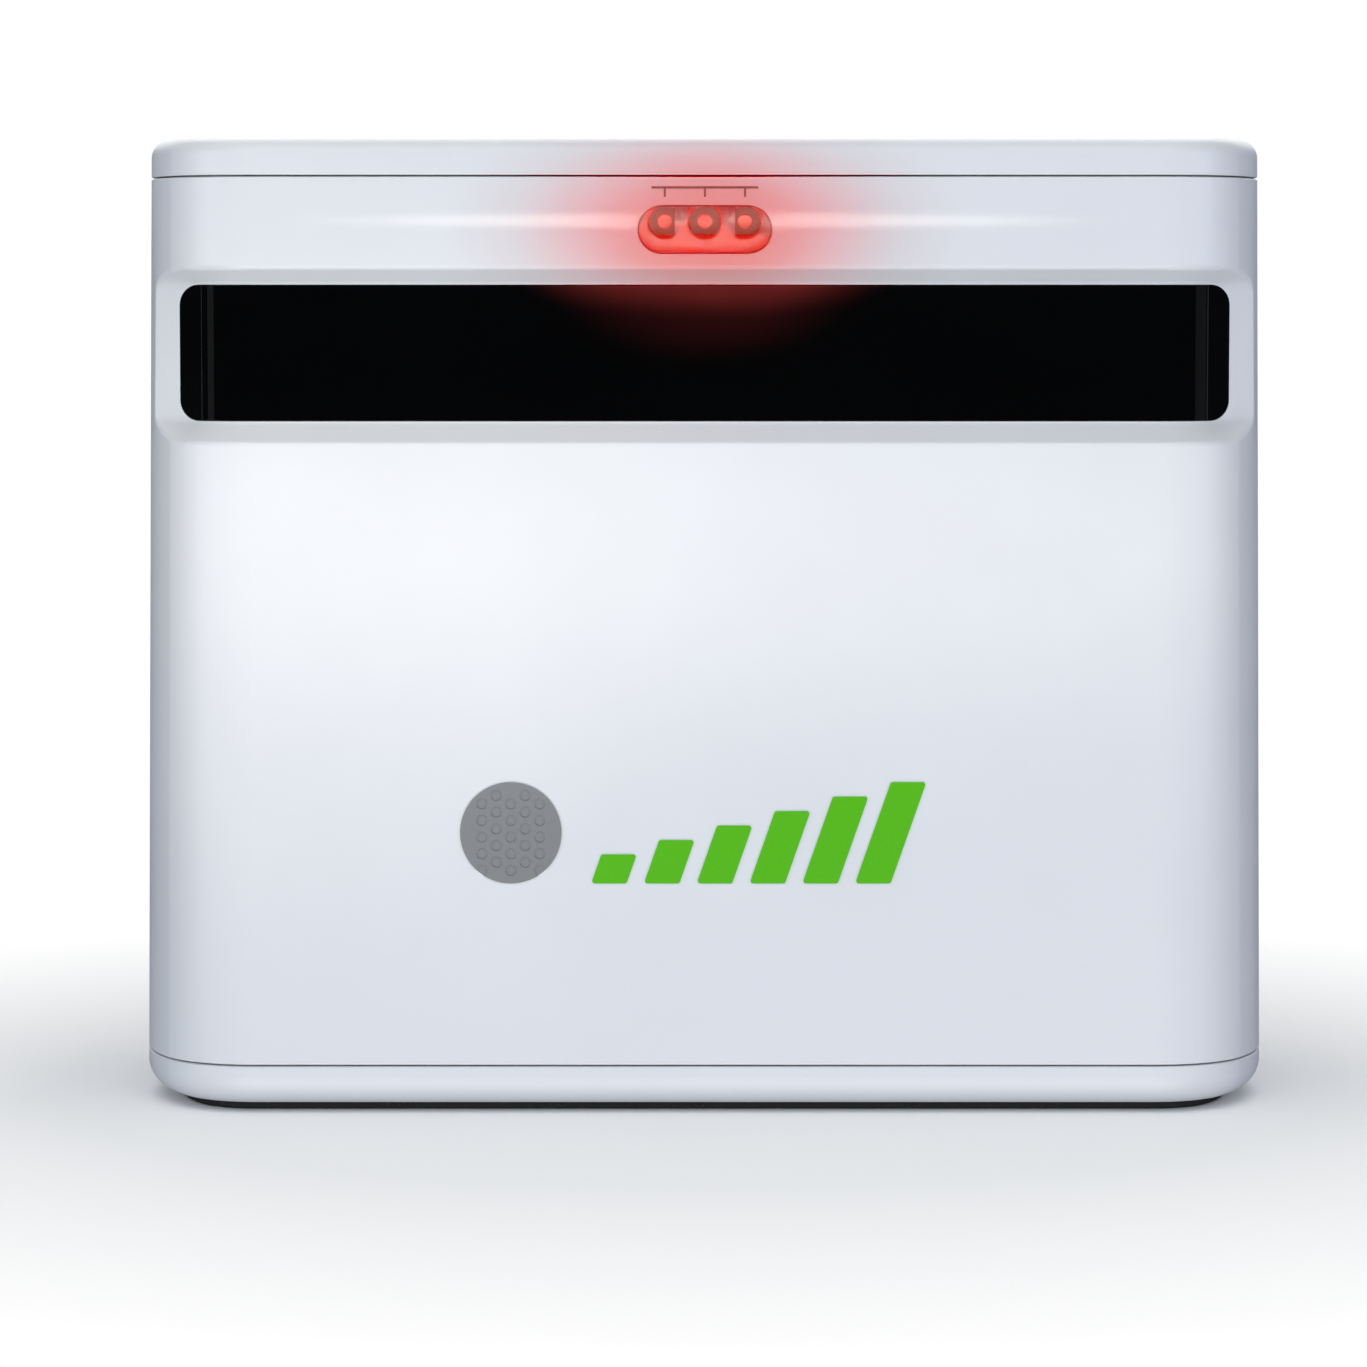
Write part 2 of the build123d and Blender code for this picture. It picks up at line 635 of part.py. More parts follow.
with BuildPart() as laser_holder:
    add(obround(facing_rear(0, GLASS_REAR, LASER_Z), LASER_WIDTH - 0.2, LASER_HEIGHT - 0.2, 4))
    add(block((-17, 17), (INNER_WALL_Y, LASER_SOCKET_REAR), (128.3, 136.9)))
    add(block((-10, 10), (LASER_SOCKET_REAR, -23.5), (128.6, 139.2)))
    add(pegs([plane.offset(-1.2) for plane in laser_planes], LASER_R + RUNNING_FIT, 14), mode=Mode.SUBTRACT)
    add(laser_sockets.part, mode=Mode.SUBTRACT)
    add(pegs(stake_places, 1.05, 4), mode=Mode.SUBTRACT)
finish("laser_holder", laser_holder.part)

for name, plane in zip(("left", "centre", "right"), laser_planes):
    with BuildPart() as laser_module:
        add(pegs([plane], LASER_R, LASER_LENGTH))
        add(pegs([plane], 1.1, 0.5), mode=Mode.SUBTRACT)
        chamfer(laser_module.faces().sort_by(Axis.Y)[-1].edges(), length=0.4)
    finish(f"laser_{name}", laser_module.part)

with BuildPart() as laser_lenses:
    for plane in laser_planes:
        add(pegs([plane.offset(0.5)], 1.1, -0.8))
    fillet(laser_lenses.edges().group_by(Axis.Y)[0], radius=0.2)
finish("laser_lenses", laser_lenses.part)

# ---------------------------------------------------------------- controls in the top cap
with BuildPart() as power_button:
    add(pegs([facing_up(BUTTON_X, 0, CAP_CEILING - 0.6)], BUTTON_R, HEIGHT - 0.1 - CAP_CEILING + 0.6))
    chamfer(power_button.faces().sort_by(Axis.Z)[-1].edges(), length=0.4)
    add(pegs([facing_up(BUTTON_X, 0, CAP_CEILING - 1.1)], BUTTON_R + 1.1, 1.0))
    add(pegs([facing_down(BUTTON_X, 0, CAP_CEILING - 1.0)], 2.5, 2.6))
    with BuildSketch(facing_up(BUTTON_X, 0, HEIGHT - 0.3)):
        Circle(3.0)
        Circle(2.45, mode=Mode.SUBTRACT)
    extrude(amount=1, mode=Mode.SUBTRACT)
finish("power_button", power_button.part)

with BuildPart() as switch_plunger:
    add(pegs([facing_down(BUTTON_X, 0, CAP_CEILING - 3.6)], PLUNGER_R, 1.8))
finish("switch_plunger", switch_plunger.part)

with BuildPart() as button_switch:
    add(block(around(BUTTON_X, 6), around(0, 6), (board_top, board_top + 3.2)))
    add(pegs([facing_up(BUTTON_X, 0, board_top + 1.0)], PLUNGER_R + RUNNING_FIT, 4), mode=Mode.SUBTRACT)
finish("button_switch", button_switch.part)

with BuildPart() as indicator_lens:
    add(obround(facing_up(INDICATOR_X, 0, CAP_CEILING - 0.1), INDICATOR_LENGTH, INDICATOR_WIDTH, 2.5))
    chamfer(indicator_lens.faces().sort_by(Axis.Z)[-1].edges(), length=0.15)
    flange = facing_up(INDICATOR_X, 0, CAP_CEILING - 0.7)
    add(obround(flange, INDICATOR_LENGTH + 2, INDICATOR_WIDTH + 2, 0.6))
finish("indicator_lens", indicator_lens.part)

pipe_places = [(INDICATOR_X + step * PIPE_PITCH, 0) for step in (-1, 0, 1)]
with BuildPart() as status_leds:
    for x, y in pipe_places:
        add(block(around(x, 2.0), around(y, 1.2), (board_top, board_top + 0.9)))
finish("status_leds", status_leds.part)

with BuildPart() as light_pipes:
    pipe_low = board_top + 1.1
    add(pegs([facing_up(x, y, pipe_low) for x, y in pipe_places], PIPE_R, CAP_CEILING - 0.7 - pipe_low))
finish("light_pipes", light_pipes.part)

with BuildPart() as top_board:
    add(block(*TOP_BOARD, (TOP_BOARD_Z, board_top)))
    fillet(top_board.edges().filter_by(Axis.Z), radius=1.5)
    add(pegs([facing_down(x, y, board_top) for x, y in top_places], SMALL_CLEAR_R, 5), mode=Mode.SUBTRACT)
finish("top_board", top_board.part)

# ---------------------------------------------------------------- chassis and main board
with BuildPart() as chassis_plate:
    add(block((-PLATE_HALF, PLATE_HALF), (PLATE_FRONT, PLATE_REAR), PLATE_Z))
    for x, y in tab_places:
        add(block(around(x, 12), (TAB_Y - 5, PLATE_FRONT), (PLATE_Z[0], PLATE_Z[0] + 1.5)))
        add(block(around(x, 12), (TAB_Y - 5, PLATE_FRONT), (PLATE_Z[1] - 1.5, PLATE_Z[1])))
        add(pegs([facing_up(x, y, 0)], CLEAR_R, HEIGHT), mode=Mode.SUBTRACT)
    main_places = [(side * MAIN_SCREW_X, z) for side in SIDES.values() for z in MAIN_SCREW_ZS]
    add(pegs([facing_rear(x, PLATE_REAR, z) for x, z in main_places], 2.6, -PLATE_REAR))
    add(pegs([facing_front(x, 0, z) for x, z in main_places], 1.25, 9), mode=Mode.SUBTRACT)
    with BuildSketch(facing_front(0, PLATE_REAR + 1, 0)):
        with Locations(*[(side * CAMERA_X, RIBBON_Z) for side in SIDES.values()]):
            SlotOverall(12, 2.6)
        with Locations((-36, 87), (-12, 87), (12, 87), (36, 87)):
            SlotOverall(14, 8)
        with Locations(*[(side * BAR_SCREW_X, CAMERA_Z) for side in SIDES.values()]):
            Circle(CLEAR_R)
    extrude(amount=4, mode=Mode.SUBTRACT)
finish("chassis_plate", chassis_plate.part)

with BuildPart() as camera_bar:
    add(block((-BAR_HALF, BAR_HALF), (BAR_FRONT, BAR_REAR), around(CAMERA_Z, BAR_HEIGHT)))
    fillet(camera_bar.edges().filter_by(Axis.Y), radius=2)
    bar_places = [(side * BAR_SCREW_X, CAMERA_Z) for side in SIDES.values()]
    add(pegs([facing_rear(x, BAR_REAR, z) for x, z in bar_places], 3.5, PLATE_FRONT - BAR_REAR))
    pad_places = [place for x in (-CAMERA_X, 0, CAMERA_X) for place in sensor_screws(x)]
    pad_height = BAR_FRONT - SENSOR_FRONT - BOARD
    add(pegs([facing_front(x, BAR_FRONT, z) for x, z in pad_places], 1.8, pad_height))
    add(pegs([facing_front(x, PLATE_FRONT, z) for x, z in bar_places], PILOT_R, 4.5), mode=Mode.SUBTRACT)
    add(pegs([facing_rear(x, -18, z) for x, z in pad_places], SMALL_R, 7), mode=Mode.SUBTRACT)
finish("camera_bar", camera_bar.part)

with BuildPart() as main_board:
    add(block((-MAIN_X, MAIN_X), (0, BOARD), MAIN_Z))
    fillet(main_board.edges().filter_by(Axis.Y), radius=2)
    add(pegs([facing_front(x, 3, z) for x, z in main_places], 1.4, 5), mode=Mode.SUBTRACT)
finish("main_board", main_board.part)

with BuildPart() as processor:
    add(block(around(6, 18), (BOARD, BOARD + 1.4), around(102, 18)))
    chamfer(processor.faces().sort_by(Axis.Y)[-1].edges(), length=0.3)
finish("processor", processor.part)

with BuildPart() as board_chips:
    add(block(around(-16, 11), (BOARD, BOARD + 1.0), around(106, 9)))
    add(block(around(-16, 11), (BOARD, BOARD + 1.0), around(95, 9)))
    add(block(around(38, 13), (BOARD, BOARD + 1.8), around(108, 16)))
    add(block(around(37, 5), (BOARD, BOARD + 0.9), around(92, 5)))
    for number in range(5):
        add(block(around(26 + number * 4, 2.4), (BOARD, BOARD + 1.2), around(80, 3.2)))
finish("board_chips", board_chips.part)

with BuildPart() as board_connectors:
    for side in SIDES.values():
        add(block(around(side * CAMERA_X, 10), (-2, 0), (92, 96)))
    add(block(around(LEAD_X, 8), (BOARD, BOARD + 3.8), (70, 76)))
    add(block(around(INDICATOR_X, 10), (BOARD, BOARD + 2.0), (118, 124)))
    add(block(around(INDICATOR_X, 10), (BOARD, BOARD + 2.0), (TOP_BOARD_Z - 2.2, TOP_BOARD_Z)))
finish("board_connectors", board_connectors.part)

with BuildPart() as heat_spreader:
    add(block(around(6, 34), (BOARD + 1.4, BOARD + 3.4), around(102, 30)))
    for number in range(8):
        add(block(around(6 + (number - 3.5) * 4.4, 1.2), (BOARD + 3.4, BOARD + 9), around(102, 30)))
finish("heat_spreader", heat_spreader.part)

with BuildPart() as flash_capacitors:
    for z in (77.5, 89.5):
        with BuildSketch(Plane.YZ.offset(-46)):
            with Locations((BOARD + 5.2, z)):
                Circle(5.2)
        extrude(amount=21)
    fillet(flash_capacitors.edges().filter_by(GeomType.CIRCLE), radius=0.8)
finish("flash_capacitors", flash_capacitors.part)

with BuildPart() as wifi_antenna:
    wall = DEPTH / 2 - lean(ANTENNA_Z[1]) - WALL
    add(block((-60, -30), (wall - ANTENNA_THICK, wall), ANTENNA_Z))
finish("wifi_antenna", wifi_antenna.part)

# ---------------------------------------------------------------- cameras and flash
for name, side in SIDES.items():
    x = side * CAMERA_X
    holes = [facing_rear(px, SENSOR_FRONT - 1, pz) for px, pz in sensor_screws(x)]
    with BuildPart() as camera_board:
        add(block(around(x, 23), (SENSOR_FRONT, SENSOR_FRONT + BOARD), around(CAMERA_Z, 18)))
        add(pegs(holes, SMALL_CLEAR_R, 4), mode=Mode.SUBTRACT)
    finish(f"camera_board_{name}", camera_board.part)

    with BuildPart() as lens_housing:
        add(block(around(x, 14.4), (SENSOR_FRONT - 5, SENSOR_FRONT), around(CAMERA_Z, 14.4)))
        fillet(lens_housing.edges().filter_by(Axis.Y), radius=1)
        add(pegs([facing_front(x, SENSOR_FRONT, CAMERA_Z)], 4.6, 9), mode=Mode.SUBTRACT)
        chamfer(lens_housing.faces().sort_by(Axis.Y)[0].inner_wires()[0].edges(), length=0.4)
    finish(f"lens_housing_{name}", lens_housing.part)

    with BuildPart() as lens_barrel:
        add(pegs([facing_front(x, SENSOR_FRONT - 5, CAMERA_Z)], BARREL_R, SENSOR_FRONT - 5 - BARREL_FRONT))
        add(pegs([facing_rear(x, SENSOR_FRONT - 5, CAMERA_Z)], 4.1, 2.5))
        add(pegs([facing_front(x, BARREL_FRONT + 1.6, CAMERA_Z)], 5.2, 4), mode=Mode.SUBTRACT)
        add(pegs([facing_front(x, SENSOR_FRONT, CAMERA_Z)], 3.2, 12), mode=Mode.SUBTRACT)
        chamfer(lens_barrel.faces().sort_by(Axis.Y)[0].outer_wire().edges(), length=0.4)
    finish(f"lens_barrel_{name}", lens_barrel.part)

    with BuildPart() as lens_glass:
        add(pegs([facing_front(x, BARREL_FRONT + 1.6, CAMERA_Z)], LENS_R, LENS_THICK))
        with Locations((x, BARREL_FRONT + 1.6 - LENS_THICK + LENS_DOME_R, CAMERA_Z)):
            Sphere(LENS_DOME_R, mode=Mode.INTERSECT)
    finish(f"lens_glass_{name}", lens_glass.part)

    with BuildPart() as camera_ribbon:
        with BuildSketch(Plane.YZ.offset(x - RIBBON_WIDTH / 2)):
            with BuildLine() as run:
                FilletPolyline(
                    (SENSOR_FRONT + BOARD / 2, CAMERA_Z - 9),
                    (SENSOR_FRONT + BOARD / 2, RIBBON_Z),
                    (-1, RIBBON_Z),
                    (-1, 96),
                    radius=1.5,
                )
            trace(run.wire(), 0.3)
        extrude(amount=RIBBON_WIDTH)
    finish(f"camera_ribbon_{name}", camera_ribbon.part)

led_places = [
    (side * FLASH_X + dx, CAMERA_Z + dz)
    for side in SIDES.values()
    for dx in (-FLASH_STEP, FLASH_STEP)
    for dz in (-FLASH_STEP, FLASH_STEP)
]
with BuildPart() as flash_board:
    add(block((-27, 27), (SENSOR_FRONT, SENSOR_FRONT + BOARD), around(CAMERA_Z, 18)))
    holes = [facing_rear(x, SENSOR_FRONT - 1, z) for x, z in sensor_screws(0)]
    add(pegs(holes, SMALL_CLEAR_R, 4), mode=Mode.SUBTRACT)
finish("flash_board", flash_board.part)

with BuildPart() as flash_leds:
    for x, z in led_places:
        add(block(around(x, 3.5), (SENSOR_FRONT - 1, SENSOR_FRONT), around(z, 3.5)))
        add(pegs([facing_front(x, SENSOR_FRONT - 1, z)], 1.5, 1.0))
finish("flash_leds", flash_leds.part)

with BuildPart() as flash_reflectors:
    for side in SIDES.values():
        depth = (SENSOR_FRONT - FLASH_REACH, SENSOR_FRONT - 1.1)
        add(block(around(side * FLASH_X, 15.4), depth, around(CAMERA_Z, 15.4)))
    for x, z in led_places:
        with BuildSketch(facing_front(x, SENSOR_FRONT - 1.1, z)):
            Circle(1.9)
        with BuildSketch(facing_front(x, SENSOR_FRONT - FLASH_REACH, z)):
            Circle(3.3)
        loft(mode=Mode.SUBTRACT)
finish("flash_reflectors", flash_reflectors.part)

# ---------------------------------------------------------------- battery and USB inlet
with BuildPart() as battery_holder:
    half = CELL_LENGTH / 2 + 1
    rear = CELL_Y + CELL_R
    low, high = CELL_Z - CELL_PITCH / 2 - CELL_R - 1, CELL_Z + CELL_PITCH / 2 + CELL_R + 1
    add(block((-half - 2, half + 2), (PLATE_REAR, rear + 1), (low - 1.6, high + 1.6)))
    add(block((-half, half), (CELL_Y - CELL_R - 0.2, rear + 2), (low, high)), mode=Mode.SUBTRACT)
finish("battery_holder", battery_holder.part)

with BuildPart() as battery_cells:
    with BuildSketch(Plane.YZ.offset(-CELL_LENGTH / 2)):
        with Locations(*[(CELL_Y, CELL_Z + step * CELL_PITCH) for step in (-0.5, 0.5)]):
            Circle(CELL_R)
    extrude(amount=CELL_LENGTH)
    fillet(battery_cells.edges().filter_by(GeomType.CIRCLE), radius=0.8)
finish("battery_cells", battery_cells.part)

with BuildPart() as battery_lead:
    lead_y = BOARD + 1.9
    with BuildLine() as route:
        FilletPolyline((half + 2, lead_y, 50), (LEAD_X, lead_y, 50), (LEAD_X, lead_y, 70), radius=4)
    with BuildSketch(Plane(origin=(half + 2, lead_y, 50), z_dir=(1, 0, 0))):
        Circle(1.1)
    sweep(path=route.wire())
finish("battery_lead", battery_lead.part)

with BuildPart() as top_ribbon:
    add(block(around(INDICATOR_X, 8), around(BOARD + 1.0, 0.3), (124, TOP_BOARD_Z - 2.2)))
finish("top_ribbon", top_ribbon.part)

with BuildPart() as port_board:
    add(block(around(PORT_X, 28), (8, 30), (PORT_Z - BOARD, PORT_Z)))
    add(pegs([facing_down(x, y, PORT_Z) for x, y in port_places], SMALL_CLEAR_R, 3), mode=Mode.SUBTRACT)
finish("port_board", port_board.part)

with BuildPart() as usb_socket:
    add(obround(facing_rear(PORT_X, 23.5, usb_mid), USB_WIDTH, USB_HEIGHT, 8.9))
    mouth = facing_rear(PORT_X, 25.5, usb_mid)
    add(obround(mouth, USB_WIDTH - 0.6, USB_HEIGHT - 0.6, 8), mode=Mode.SUBTRACT)
    add(block(around(PORT_X, 6.7), (25, 31), around(usb_mid, 0.7)))
finish("usb_socket", usb_socket.part)

# ---------------------------------------------------------------- levelling feet
with BuildPart() as levelling_inserts:
    seats = [facing_up(x, y, INSERT_Z[0]) for x, y in foot_places]
    add(pegs(seats, INSERT_R, INSERT_Z[1] - INSERT_Z[0]))
    add(pegs(seats, STUD_R + RUNNING_FIT, 30), mode=Mode.SUBTRACT)
finish("levelling_inserts", levelling_inserts.part)

for name, side in SIDES.items():
    x = side * FOOT_X
    with BuildPart() as foot_wheel:
        with BuildSketch(Plane.XY.offset(WHEEL_Z[0])):
            with Locations((x, FOOT_Y)):
                Circle(WHEEL_R)
                with PolarLocations(WHEEL_R + 0.9, 12):
                    Circle(1.6, mode=Mode.SUBTRACT)
        extrude(amount=WHEEL_Z[1] - WHEEL_Z[0])
        add(pegs([facing_up(x, FOOT_Y, WHEEL_Z[1] - 0.5)], STUD_R, STUD_TOP - WHEEL_Z[1] + 0.5))
        chamfer(foot_wheel.faces().sort_by(Axis.Z)[-1].edges(), length=0.5)
        add(pegs([facing_up(x, FOOT_Y, 0)], GLIDE_PIN_R + RUNNING_FIT, 4.4), mode=Mode.SUBTRACT)
    finish(f"foot_wheel_{name}", foot_wheel.part)

    with BuildPart() as foot_pad:
        add(pegs([facing_up(x, FOOT_Y, 0)], GLIDE_R, 1.3))
        chamfer(foot_pad.faces().sort_by(Axis.Z)[0].edges(), length=0.3)
        add(pegs([facing_up(x, FOOT_Y, 1.0)], GLIDE_PIN_R, 3.2))
    finish(f"foot_pad_{name}", foot_pad.part)

# ---------------------------------------------------------------- screws
finish("shell_screws", screws(heads, HEAD_R, HEAD_HEIGHT, PILOT_R, 21))
tray_seats = [facing_down(x, y, HEAD_SINK_Z) for x, y in tray_places]
finish("tray_screws", screws(tray_seats, HEAD_R, HEAD_HEIGHT - 0.1, PILOT_R, 15))
chassis_seats = [facing_up(x, y, PLATE_Z[0] + 1.5) for x, y in tab_places]
chassis_seats += [facing_down(x, y, PLATE_Z[1] - 1.5) for x, y in tab_places]
chassis_seats += [facing_rear(x, PLATE_REAR, z) for x, z in bar_places]
finish("chassis_screws", screws(chassis_seats, HEAD_R, HEAD_HEIGHT, PILOT_R, 5.5))
board_seats = [facing_down(x, y, TOP_BOARD_Z) for x, y in top_places]
board_seats += [facing_up(x, y, PORT_Z) for x, y in port_places]
board_seats += [facing_rear(x, BOARD, z) for x, z in main_places]
board_seats += [facing_front(x, SENSOR_FRONT, z) for x, z in pad_places]
finish("board_screws", screws(board_seats, SMALL_HEAD_R, 1.1, SMALL_R, 5.5))

os.makedirs("parts", exist_ok=True)
for piece in finished:
    export_step(piece, f"parts/{piece.label}.step")
print(len(finished), "pieces")
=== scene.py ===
import json
import math

import bmesh
import bpy
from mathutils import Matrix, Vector


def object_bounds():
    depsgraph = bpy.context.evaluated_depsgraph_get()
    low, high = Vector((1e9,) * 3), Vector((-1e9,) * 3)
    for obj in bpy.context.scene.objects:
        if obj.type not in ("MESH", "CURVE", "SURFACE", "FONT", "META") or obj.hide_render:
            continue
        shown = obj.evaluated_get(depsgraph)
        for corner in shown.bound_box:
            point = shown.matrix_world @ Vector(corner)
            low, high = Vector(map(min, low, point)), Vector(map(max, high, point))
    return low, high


# Looks of a compact camera launch monitor: white moulded housing, black wrap-round window, a laser
# aperture that glows red, and everything inside. All lengths are in metres, in the CAD's frame.
# Every piece keeps its CAD mesh; only materials, a floor, lights and the camera are added.

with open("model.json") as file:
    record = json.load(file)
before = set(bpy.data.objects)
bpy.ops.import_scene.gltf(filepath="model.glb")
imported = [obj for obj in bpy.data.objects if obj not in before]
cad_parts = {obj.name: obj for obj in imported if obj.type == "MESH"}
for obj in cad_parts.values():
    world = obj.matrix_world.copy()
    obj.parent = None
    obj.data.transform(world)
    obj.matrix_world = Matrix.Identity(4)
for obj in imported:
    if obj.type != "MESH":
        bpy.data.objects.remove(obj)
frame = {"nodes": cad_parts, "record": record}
cad_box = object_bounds()
nodes = frame["nodes"]
MM = 0.001
WAVE_PER_UNIT = math.tau / 20  # scale at which the wave texture repeats once per unit


# ------------------------------------------------------------------ material kit
class Finish:
    """A node material whose detail is laid out in the part's own space."""

    def __init__(self, name, color, roughness, **sockets):
        self.material = bpy.data.materials.new(name)
        self.material.use_nodes = True
        self.tree = self.material.node_tree
        self.shader = self.tree.nodes["Principled BSDF"]
        self.set("Base Color", (*color, 1))
        self.set("Roughness", roughness)
        for socket, value in sockets.items():
            self.set(socket.replace("_", " "), value)
        self.space = self.node("ShaderNodeTexCoord").outputs["Object"]
        self.normal = None

    def set(self, socket, value):
        """Give a socket of the shader a value, or link another node's output to it."""
        self.feed(self.shader.inputs[socket], value)

    def feed(self, socket, value):
        if isinstance(value, bpy.types.NodeSocket):
            self.tree.links.new(value, socket)
        else:
            socket.default_value = value

    def node(self, kind, inputs=None, **settings):
        made = self.tree.nodes.new(kind)
        for key, value in settings.items():
            setattr(made, key, value)
        for socket, value in (inputs or {}).items():
            self.feed(made.inputs[socket], value)
        return made

    def place(self, size, stretch=(1, 1, 1), turn=(0, 0, 0)):
        """Coordinates in which one unit is a feature of that size, drawn out along the axes by stretch."""
        scale = [1 / (size * share) for share in stretch]
        turned = self.node("ShaderNodeMapping", {"Vector": self.space, "Rotation": turn})
        return self.node("ShaderNodeMapping", {"Vector": turned.outputs[0], "Scale": scale}).outputs[0]

    def noise(self, size, detail=2.0, stretch=(1, 1, 1), distortion=0.0):
        where = self.place(size, stretch)
        inputs = {"Vector": where, "Scale": 1, "Detail": detail, "Distortion": distortion}
        return self.node("ShaderNodeTexNoise", inputs).outputs[0]

    def cells(self, size, randomness=1.0):
        inputs = {"Vector": self.place(size), "Scale": 1, "Randomness": randomness}
        return self.node("ShaderNodeTexVoronoi", inputs, feature="F1").outputs["Distance"]

    def bands(self, pitch, direction="X", profile="SIN"):
        """Parallel ridges across an axis, one per pitch."""
        inputs = {"Vector": self.place(pitch), "Scale": WAVE_PER_UNIT, "Distortion": 0.0, "Detail": 1}
        settings = {"bands_direction": direction, "wave_profile": profile}
        return self.node("ShaderNodeTexWave", inputs, **settings).outputs[1]

    def math(self, operation, first, second=0.0):
        return self.node("ShaderNodeMath", {0: first, 1: second}, operation=operation).outputs[0]

    def remap(self, value, low, high, to_low=0.0, to_high=1.0):
        inputs = {"Value": value, "From Min": low, "From Max": high, "To Min": to_low, "To Max": to_high}
        return self.node("ShaderNodeMapRange", inputs).outputs[0]

    def blend(self, share, first, second):
        """Colour from first at share 0 to second at share 1."""
        mix = self.node("ShaderNodeMix", data_type="RGBA")
        self.feed(mix.inputs[0], share)
        self.feed(mix.inputs[6], first if isinstance(first, bpy.types.NodeSocket) else (*first, 1))
        self.feed(mix.inputs[7], second if isinstance(second, bpy.types.NodeSocket) else (*second, 1))
        return mix.outputs[2]

    def edges(self, radius):
        """1 on edges sharper than the radius, 0 on flat faces."""
        soft = self.node("ShaderNodeBevel", {"Radius": radius}, samples=4).outputs[0]
        hard = self.node("ShaderNodeNewGeometry").outputs["Normal"]
        alike = self.node("ShaderNodeVectorMath", {0: soft, 1: hard}, operation="DOT_PRODUCT")
        return self.remap(alike.outputs["Value"], 0.98, 0.8)

    def bump(self, height, depth, strength=1.0):
        """Relief of that depth, on top of what was there before."""
        node = self.node("ShaderNodeBump", {"Height": height, "Distance": depth, "Strength": strength})
        if self.normal is not None:
            self.feed(node.inputs["Normal"], self.normal)
        self.normal = node.outputs[0]
        self.set("Normal", self.normal)


def shade(color, share):
    return tuple(min(1.0, channel * share) for channel in color)


# ------------------------------------------------------------------ finishes, one per material slot
def white_plastic():
    """Satin ABS from a spark-eroded mould: a very fine even grain, edges rubbed a little smoother and
    painted a touch lighter, partly wear and partly a painted edge highlight.
    """
    white = (0.83, 0.84, 0.86)
    f = Finish("white_plastic", white, 0.4, Specular_IOR_Level=0.45)
    mottle = f.noise(22 * MM, 3)
    edge_wear_and_highlight = f.edges(0.5 * MM)
    clean = f.blend(f.remap(mottle, 0.3, 0.7), shade(white, 0.985), shade(white, 1.01))
    # Edges painted lighter: partly wear, partly a painted edge highlight.
    f.set("Base Color", f.blend(f.math("MULTIPLY", edge_wear_and_highlight, 0.35), clean, shade(white, 1.05)))
    grain = f.noise(0.22 * MM, 2)
    rough = f.math("ADD", f.remap(mottle, 0.3, 0.7, 0.36, 0.42), f.remap(grain, 0.2, 0.8, -0.04, 0.04))
    f.set("Roughness", f.math("SUBTRACT", rough, f.math("MULTIPLY", edge_wear_and_highlight, 0.08)))
    f.bump(f.noise(0.6 * MM, 1), 0.004 * MM, 0.6)
    f.bump(grain, 0.006 * MM, 0.5)
    return f


def holder_plastic():
    f = Finish("holder_plastic", (0.8, 0.8, 0.8), 0.55)
    flow = f.noise(3 * MM, 3, (3, 1, 1))
    f.set("Base Color", f.blend(f.remap(flow, 0.3, 0.7), (0.78, 0.78, 0.79), (0.83, 0.83, 0.83)))
    f.set("Roughness", f.remap(flow, 0.3, 0.7, 0.5, 0.62))
    f.bump(f.noise(0.25 * MM, 2), 0.008 * MM)
    return f


def window_plastic():
    """Polished black acrylic with a trace of finger haze and hair-fine wiping marks."""
    f = Finish("window_plastic", (0.0035, 0.0035, 0.004), 0.05, IOR=1.49)
    haze = f.noise(14 * MM, 4, (2, 1, 1), 0.4)
    wipes = f.noise(0.35 * MM, 1, (40, 1, 1))
    marks = f.remap(wipes, 0.62, 0.8, 0, 0.03)
    f.set("Roughness", f.math("ADD", f.remap(haze, 0.45, 0.8, 0.035, 0.09), marks))
    f.set("Base Color", f.blend(f.remap(haze, 0.4, 0.8), (0.003, 0.003, 0.0034), (0.005, 0.005, 0.0056)))
    f.bump(f.noise(30 * MM, 1), 0.01 * MM, 0.3)
    return f


def smoked_plastic():
    f = Finish("smoked_plastic", (0.03, 0.03, 0.034), 0.08, IOR=1.49, Coat_Weight=0.4)
    haze = f.noise(4 * MM, 3)
    f.set("Roughness", f.remap(haze, 0.35, 0.75, 0.06, 0.16))
    f.set("Base Color", f.blend(haze, (0.022, 0.022, 0.026), (0.04, 0.04, 0.045)))
    f.bump(f.noise(0.4 * MM, 1), 0.002 * MM, 0.3)
    return f


def clear_cover():
    """Clear acrylic, seen through face on and glossy at grazing angles."""
    f = Finish("clear_cover", (0.9, 0.9, 0.92), 0.06, IOR=1.49)
    facing = f.node("ShaderNodeLayerWeight", {"Blend": 0.35}).outputs["Facing"]
    haze = f.noise(2.5 * MM, 3)
    rim = f.edges(0.25 * MM)
    see = f.math("ADD", f.remap(facing, 0, 1, 0.05, 0.7), f.remap(haze, 0.5, 0.8, 0, 0.04))
    f.set("Alpha", f.math("ADD", see, f.math("MULTIPLY", rim, 0.3)))
    f.set("Roughness", f.remap(haze, 0.3, 0.7, 0.04, 0.1))
    return f


def lens_glass():
    """Optical glass with a violet and green coating that shifts over the dome."""
    f = Finish("lens_glass", (0.02, 0.02, 0.05), 0.03, IOR=1.6, Coat_Weight=1.0, Coat_Roughness=0.02)
    facing = f.node("ShaderNodeLayerWeight", {"Blend": 0.5}).outputs["Facing"]
    f.set("Base Color", f.blend(f.remap(facing, 0, 0.8), (0.03, 0.01, 0.07), (0.01, 0.07, 0.05)))
    f.set("Roughness", f.remap(f.noise(3 * MM, 2), 0.4, 0.8, 0.02, 0.06))
    return f


